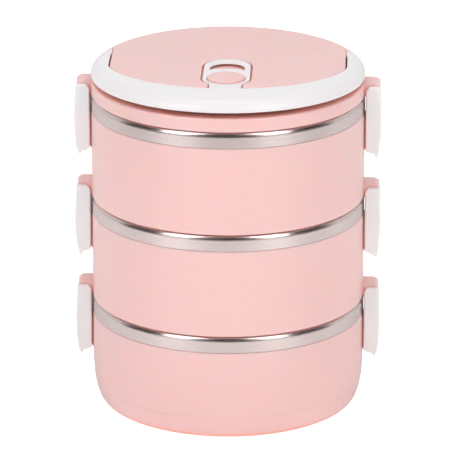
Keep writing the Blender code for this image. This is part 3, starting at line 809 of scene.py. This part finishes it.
def make_lid_cover():
    above = LID_TOP + 5.0 * MM
    cover = turned(lid_outline())
    cover = combined(cover, plan_prism(handle_bay_outline(), LEDGE_HEIGHT, above), "DIFFERENCE")
    pocket = paddle_outline(POCKET_HALF_WIDTH, POCKET_BACK_Y, POCKET_NECK_HALF_WIDTH, -HANDLE_RADIUS)
    cover = combined(cover, plan_prism(pocket, POCKET_FLOOR, above), "DIFFERENCE")

    def ledge_rim(edge):
        middle = (edge.verts[0].co + edge.verts[1].co) / 2.0
        return abs(middle.z - LEDGE_HEIGHT) < 0.01 * MM and middle.xy.length > 71.0 * MM

    def platform_edge(edge):
        middle = (edge.verts[0].co + edge.verts[1].co) / 2.0
        return middle.z > LEDGE_HEIGHT + 0.01 * MM

    round_edges(cover, 0.9 * MM, 4, ledge_rim)
    round_edges(cover, 0.4 * MM, 3, platform_edge)
    for side in SIDES.values():
        hollow = plan_prism(hollow_outline(side), RIM_CEILING - MM, HOLLOW_CEILING)
        cover = combined(cover, hollow, "DIFFERENCE")
        hole = rod(STUB_HOLE_RADIUS, side * 57.5 * MM, side * (SIDE_WALL_X + MM), handle_axis)
        cover = combined(cover, hole, "DIFFERENCE")
    cover = combined(cover, stem_rod(VENT_SEAL_SEAT_RADIUS, VENT_SEAL_SEAT, above), "DIFFERENCE")
    cover = combined(cover, stem_rod(VENT_STEM_HOLE_RADIUS, RIM_CEILING - MM, above), "DIFFERENCE")
    show("lid_cover", with_lugs(cover, 3), "pink_plastic")


def make_inner_plate():
    """Plate inside the lid, whose plug carries the lid's sealing ring."""
    under = bottom_of(3) + GAP
    corners = [(0.0, under, 0.0), (PLUG_INNER_RADIUS, under, 0.8 * MM)] + plug_corners(bottom_of(3))
    corners += [(PLUG_RADIUS, under, 0.3 * MM), (INNER_PLATE_RADIUS, under, 0.4 * MM)]
    corners += [(INNER_PLATE_RADIUS, under + INNER_PLATE, 0.4 * MM), (0.0, under + INNER_PLATE, 0.0)]
    plate = turned(filleted(corners, 4, closed=False))
    hole = stem_rod(VENT_STEM_HOLE_RADIUS, under - MM, under + 2.0 * INNER_PLATE)
    show("lid_inner_plate", combined(plate, hole, "DIFFERENCE"), "white_plastic")


def handle_underside(y):
    """Lowest height of the handle at a place along Y; round below the pivot, arched in front."""
    behind = y - HANDLE_PIVOT_Y
    if behind > 0.0:
        drop = math.sqrt(max(0.0, HANDLE_LOBE_RADIUS ** 2 - behind ** 2))
        return max(HANDLE_LOW_SIDE, HANDLE_PIVOT_Z - drop)
    forward = max(0.0, -y / HANDLE_RADIUS)
    return HANDLE_LOW_SIDE + HANDLE_FRONT_RISE * forward ** 2


def handle_stations():
    """Pairs of plan points, on the handle's inner and outer edge, from the right end to the left."""
    arm = [(BOSS_X, HANDLE_END_Y - drop * MM) for drop in (0.0, 0.3, 0.7, 1.2, 2.0, 3.0, 4.2, 5.5, 7.5)]
    arm += [(BOSS_X, ARM_BOSS_Y), (BOSS_X + 0.15 * MM, ARM_BOSS_Y - 0.3 * MM)]
    arm += [(ARM_X - 0.15 * MM, ARM_BOSS_Y - 0.6 * MM), (ARM_X, ARM_BOSS_Y - 0.9 * MM)]
    arm += [(ARM_X, step * MM) for step in (9.5, 7.0, 4.5, 2.0, -0.5, -3.0, -5.5, -7.6)]
    right = [(inner, (math.sqrt(HANDLE_RADIUS ** 2 - inner[1] ** 2), inner[1])) for inner in arm]
    inner_edge = front_edge(FRONT_GAP, ARM_X, -ARM_X, 100)
    spread = math.degrees(math.acos(-inner_edge[0][1] / HANDLE_RADIUS))
    outer_edge = arc((0.0, 0.0), HANDLE_RADIUS, -90.0 + spread, -90.0 - spread, 100)
    left = [((-a, b), (-c, d)) for (a, b), (c, d) in reversed(right)]
    return right + list(zip(inner_edge, outer_edge)) + left


def on_segment(inner, outer, radius):
    """The point between the two edges that is `radius` from the axis."""
    step = outer - inner
    a = step.length_squared
    b = 2.0 * inner.dot(step)
    c = inner.length_squared - radius * radius
    return inner + step * (-b + math.sqrt(max(0.0, b * b - 4.0 * a * c))) / (2.0 * a)


def handle_section(inner, outer):
    """Closed section of the handle: up the inner wall, over the top, down, and back beneath."""
    inner = Vector(inner)
    outer = Vector(outer)
    across = (outer - inner).normalized()
    low = handle_underside(inner.y)
    fold = TOP_FOLD_AT_NECK if abs(inner.x) < NECK_HALF_WIDTH - 0.2 * MM else TOP_FOLD
    points = []

    def put(plan, z):
        points.append((plan.x, plan.y, z))

    edge_top = shoulder_height((inner + across * fold).length, HANDLE_RADIUS)
    for angle in (0.0, 22.5, 45.0, 67.5, 90.0):
        turn = math.radians(angle)
        put(inner + across * fold * (1.0 - math.cos(turn)), edge_top - fold * (1.0 - math.sin(turn)))
    width = HANDLE_RADIUS - SHOULDER_START
    first = max(inner.length + 0.9 * MM, SHOULDER_START)
    begin = math.asin((first - SHOULDER_START) / width)
    wall_foot = low + FOOT_FOLD
    share = max(0.0, (wall_foot - (LID_TOP - SHOULDER_HEIGHT)) / SHOULDER_HEIGHT)
    finish = math.acos(share) if share > 0.0 else math.pi / 2.0
    for step in range(15):
        angle = begin + (finish - begin) * step / 14.0
        radius = SHOULDER_START + width * math.sin(angle)
        put(on_segment(inner, outer, radius), LID_TOP - SHOULDER_HEIGHT * (1.0 - math.cos(angle)))
    edge = on_segment(inner, outer, SHOULDER_START + width * math.sin(finish))
    for angle in (2.0, 22.5, 45.0, 67.5, 90.0):
        turn = math.radians(angle)
        put(edge - across * FOOT_FOLD * (1.0 - math.cos(turn)), wall_foot - FOOT_FOLD * math.sin(turn))
    for angle in (90.0, 60.0, 30.0, 0.0):
        turn = math.radians(angle)
        put(inner + across * INNER_FOLD * (1.0 - math.cos(turn)), low + INNER_FOLD * (1.0 - math.sin(turn)))
    return points


def make_handle():
    """Crescent handle with its pivot stubs, and the centre tongue that the lid's pocket takes."""
    ring = bmesh.new()
    rows = [[ring.verts.new(point) for point in handle_section(*station)] for station in handle_stations()]
    for row, other in zip(rows, rows[1:]):
        skin(ring, row, other)
    ring.faces.new(rows[0])
    ring.faces.new(rows[-1])
    bmesh.ops.recalc_face_normals(ring, faces=ring.faces)
    end = HANDLE_END_Y - 0.01 * MM
    round_edges(ring, 0.35 * MM, 3, lambda edge: all(vert.co.y > end for vert in edge.verts))
    top = LID_TOP - 0.005 * MM
    below = top - TONGUE_THICKNESS
    outline = paddle_outline(TONGUE_HALF_WIDTH, TONGUE_BACK_Y, NECK_HALF_WIDTH, NECK_END_Y)
    tongue = plan_prism(outline, below, top)
    tongue = combined(tongue, plan_prism(slot_outline(), below - MM, top + MM), "DIFFERENCE")
    tongue = combined(tongue, stem_rod(VENT_HOLE_RADIUS, below - MM, top + MM, 96), "DIFFERENCE")
    round_edges(tongue, 0.35 * MM, 4, lambda edge: all(vert.co.z > top - 0.01 * MM for vert in edge.verts))
    undercut = [(x, y + SLOT_UNDERCUT) for x, y in slot_outline()]
    tongue = combined(tongue, plan_prism(undercut, below - MM, top - SLOT_LIP), "DIFFERENCE")
    handle = combined(ring, tongue, "UNION")
    for side in SIDES.values():
        stub = rod(STUB_RADIUS, side * STUB_TIP_X, side * (SIDE_WALL_X + 2.0 * MM), handle_axis)
        handle = combined(handle, round_edges(stub, 0.3 * MM, 2, everywhere), "UNION")
    show("handle", handle, "white_plastic")


def make_vent():
    shoulder = POCKET_FLOOR + GAP
    foot = VENT_FLANGE_TOP - VENT_FLANGE
    corners = [
        (0.0, VENT_TOP, 0.0), (VENT_RADIUS, VENT_TOP - 0.1 * MM, 0.9 * MM),
        (VENT_RADIUS, shoulder, 0.4 * MM), (VENT_STEM_RADIUS, shoulder, 0.3 * MM),
        (VENT_STEM_RADIUS, VENT_FLANGE_TOP, 0.0), (VENT_FLANGE_RADIUS, VENT_FLANGE_TOP, 0.3 * MM),
        (VENT_FLANGE_RADIUS, foot, 0.5 * MM), (0.0, foot, 0.0),
    ]
    show("vent_plug", turned(filleted(corners, 5, closed=False), VENT_Y, 96), "pink_plastic")
    low = VENT_SEAL_SEAT + GAP
    ring = [(VENT_STEM_HOLE_RADIUS, low, 0.3 * MM), (VENT_SEAL_RADIUS, low, 0.3 * MM)]
    ring += [(VENT_SEAL_RADIUS, POCKET_FLOOR, 0.3 * MM), (VENT_STEM_HOLE_RADIUS, POCKET_FLOOR, 0.3 * MM)]
    show("vent_seal", turned(filleted(ring, 3), VENT_Y, 64, closed=True), "silicone")


def make_lid():
    make_lid_cover()
    make_inner_plate()
    show("lid_seal", turned(seal_outline(3), closed=True), "silicone")
    make_handle()
    make_vent()


# ---------------------------------------------------------------- studio

CAMERA_AZIMUTH = 2.0
CAMERA_ELEVATION = 18.83
CAMERA_DISTANCE = 2.4122
CAMERA_LENS = 355.9
CAMERA_TARGET = Vector((0.2 * MM, 0.0, 93.05 * MM))
OBJECT_MIDDLE = Vector((0.0, 0.0, 90.0 * MM))

SOFTBOX_DISTANCE = 1.5
# Name, azimuth, elevation, width, height, power, colour
SOFTBOXES = (
    ("softbox_left", -43.0, 41.0, 0.58, 1.35, 11.45, (1.0, 0.985, 1.0)),
    ("softbox_right", 43.0, 41.0, 0.58, 1.35, 11.45, (1.0, 0.985, 0.97)),
    ("softbox_top", 180.0, 72.0, 1.2, 0.8, 5.0, (1.0, 1.0, 1.0)),
)

# The light table's glow: near the object and far from it, in front of it and behind it
FLOOR_RADIUS = 0.9
FLOOR_BELOW = 0.2 * MM
FLOOR_NEAR_TO_FAR = (0.1, 0.34)
FLOOR_NEAR_FRONT = 0.3
FLOOR_NEAR_BACK = 0.08
FLOOR_FAR_FRONT = 0.46
FLOOR_FAR_BACK = 0.3
FLOOR_PATCH = 0.32
FLOOR_SEEN = 0.85

# The room, by the direction looked in: each edge is a pair of Y or Z values of that direction
ROOM_DIM = 0.03
BACKDROP = 0.85
BACKDROP_EDGE = (-0.05, 0.25)
OVERHEAD_EDGE = (0.45, 0.75)
BELOW_EDGE = (-0.24, -0.14)


def around(azimuth, elevation, distance, centre):
    """A place seen from the centre: azimuth 0 is the front (-Y), 90 is +X."""
    a = math.radians(azimuth)
    e = math.radians(elevation)
    way = Vector((math.sin(a) * math.cos(e), -math.cos(a) * math.cos(e), math.sin(e)))
    return centre + way * distance


def stand(name, data, place, aim):
    """Adds a lamp or camera at a place, turned towards the point `aim`."""
    item = bpy.data.objects.new(name, data)
    item.location = place
    item.rotation_mode = "QUATERNION"
    item.rotation_quaternion = (aim - place).to_track_quat("-Z", "Y")
    bpy.context.scene.collection.objects.link(item)
    return item


def add_softbox(name, azimuth, elevation, width, height, power, colour):
    light = bpy.data.lights.new(name, "AREA")
    light.shape = "RECTANGLE"
    light.size = width
    light.size_y = height
    light.energy = power
    light.color = colour
    place = around(azimuth, elevation, SOFTBOX_DISTANCE, OBJECT_MIDDLE)
    stand(name, light, place, OBJECT_MIDDLE).visible_camera = False


def floor_glow(nodes):
    """Light that the table gives: steady to the eye, and stronger towards the two softboxes."""
    x, y, _ = nodes.axes()
    angle = nodes.maths("ARCTAN2", nodes.maths("ABSOLUTE", x), nodes.maths("MULTIPLY", y, -1.0))

    def by_angle(first, last, low, high):
        """Eases from low to high between two angles from the front, in degrees."""
        return nodes.between(angle, math.radians(first), math.radians(last), low, high)

    distance = nodes.add("ShaderNodeVectorMath", operation="LENGTH")
    nodes.link(nodes.place, distance.inputs[0])
    far = nodes.between(distance.outputs["Value"], *FLOOR_NEAR_TO_FAR)
    rise = by_angle(5.0, 40.0, 0.0, FLOOR_PATCH)
    fall = by_angle(42.0, 72.0, FLOOR_PATCH, 0.0)
    patch = nodes.maths("MULTIPLY", nodes.maths("MINIMUM", rise, fall), far)
    near_glow = by_angle(40.0, 100.0, FLOOR_NEAR_FRONT, FLOOR_NEAR_BACK)
    far_glow = by_angle(80.0, 130.0, FLOOR_FAR_FRONT, FLOOR_FAR_BACK)
    step = nodes.maths("MULTIPLY", nodes.maths("SUBTRACT", far_glow, near_glow), far)
    given = nodes.maths("ADD", patch, nodes.maths("ADD", near_glow, step))
    seen = nodes.maths("MULTIPLY", nodes.add("ShaderNodeLightPath").outputs["Is Camera Ray"], FLOOR_SEEN)
    return nodes.maths("MAXIMUM", given, seen)


def make_floor():
    """A round light table: pale paper that also glows, so that it stays white round the object."""
    bm = bmesh.new()
    bmesh.ops.create_circle(bm, cap_ends=True, segments=128, radius=FLOOR_RADIUS)
    mesh = bpy.data.meshes.new("floor")
    bm.to_mesh(mesh)
    bm.free()
    nodes = material_nodes("floor_paper")
    shader = nodes.shader
    colour = nodes.ramp(nodes.noise(3.0), (0.82, 0.815, 0.815), (0.84, 0.84, 0.84))
    nodes.link(colour, shader.inputs["Base Color"])
    nodes.link(nodes.ramp(nodes.noise(8.0), 0.75, 0.85), shader.inputs["Roughness"])
    shader.inputs["Specular IOR Level"].default_value = 0.2
    shader.inputs["Emission Color"].default_value = (1.0, 1.0, 1.0, 1.0)
    nodes.link(floor_glow(nodes), shader.inputs["Emission Strength"])
    mesh.materials.append(nodes.owner)
    floor = bpy.data.objects.new("floor", mesh)
    floor.location = (0.0, 0.0, -FLOOR_BELOW)
    bpy.context.scene.collection.objects.link(floor)


def make_world():
    """A plain white backdrop; the room in front of and above the object is dim, as in a small studio."""
    world = bpy.data.worlds.new("studio")
    bpy.context.scene.world = world
    nodes = Nodes(world, "Background", "Generated")
    _, y, z = nodes.axes()
    behind = nodes.between(y, *BACKDROP_EDGE)
    not_overhead = nodes.between(z, *OVERHEAD_EDGE, 1.0, 0.0)
    below = nodes.between(z, *BELOW_EDGE, 1.0, 0.0)
    lit = nodes.maths("MAXIMUM", nodes.maths("MULTIPLY", behind, not_overhead), below)
    room = nodes.between(lit, 0.0, 1.0, ROOM_DIM, BACKDROP)
    seen = nodes.add("ShaderNodeLightPath").outputs["Is Camera Ray"]
    nodes.link(nodes.maths("MAXIMUM", room, seen), nodes.shader.inputs["Strength"])
    nodes.shader.inputs["Color"].default_value = (1.0, 1.0, 1.0, 1.0)


def make_camera():
    camera = bpy.data.cameras.new("camera")
    camera.lens = CAMERA_LENS
    camera.sensor_width = 36.0
    camera.clip_start = 0.1
    camera.clip_end = 50.0
    place = around(CAMERA_AZIMUTH, CAMERA_ELEVATION, CAMERA_DISTANCE, CAMERA_TARGET)
    bpy.context.scene.camera = stand("camera", camera, place, CAMERA_TARGET)


def main():
    scene = bpy.context.scene
    scene.view_settings.view_transform = "Standard"
    scene.cycles.use_denoising = True
    make_camera()
    make_floor()
    make_world()
    for softbox in SOFTBOXES:
        add_softbox(*softbox)
    for tier in range(len(TIERS)):
        make_tier(tier)
    for tier, owner in ((1, "middle"), (2, "top"), (3, "lid")):
        for side_name, side in SIDES.items():
            make_latch(owner, tier, side_name, side)
    make_lid()


main()
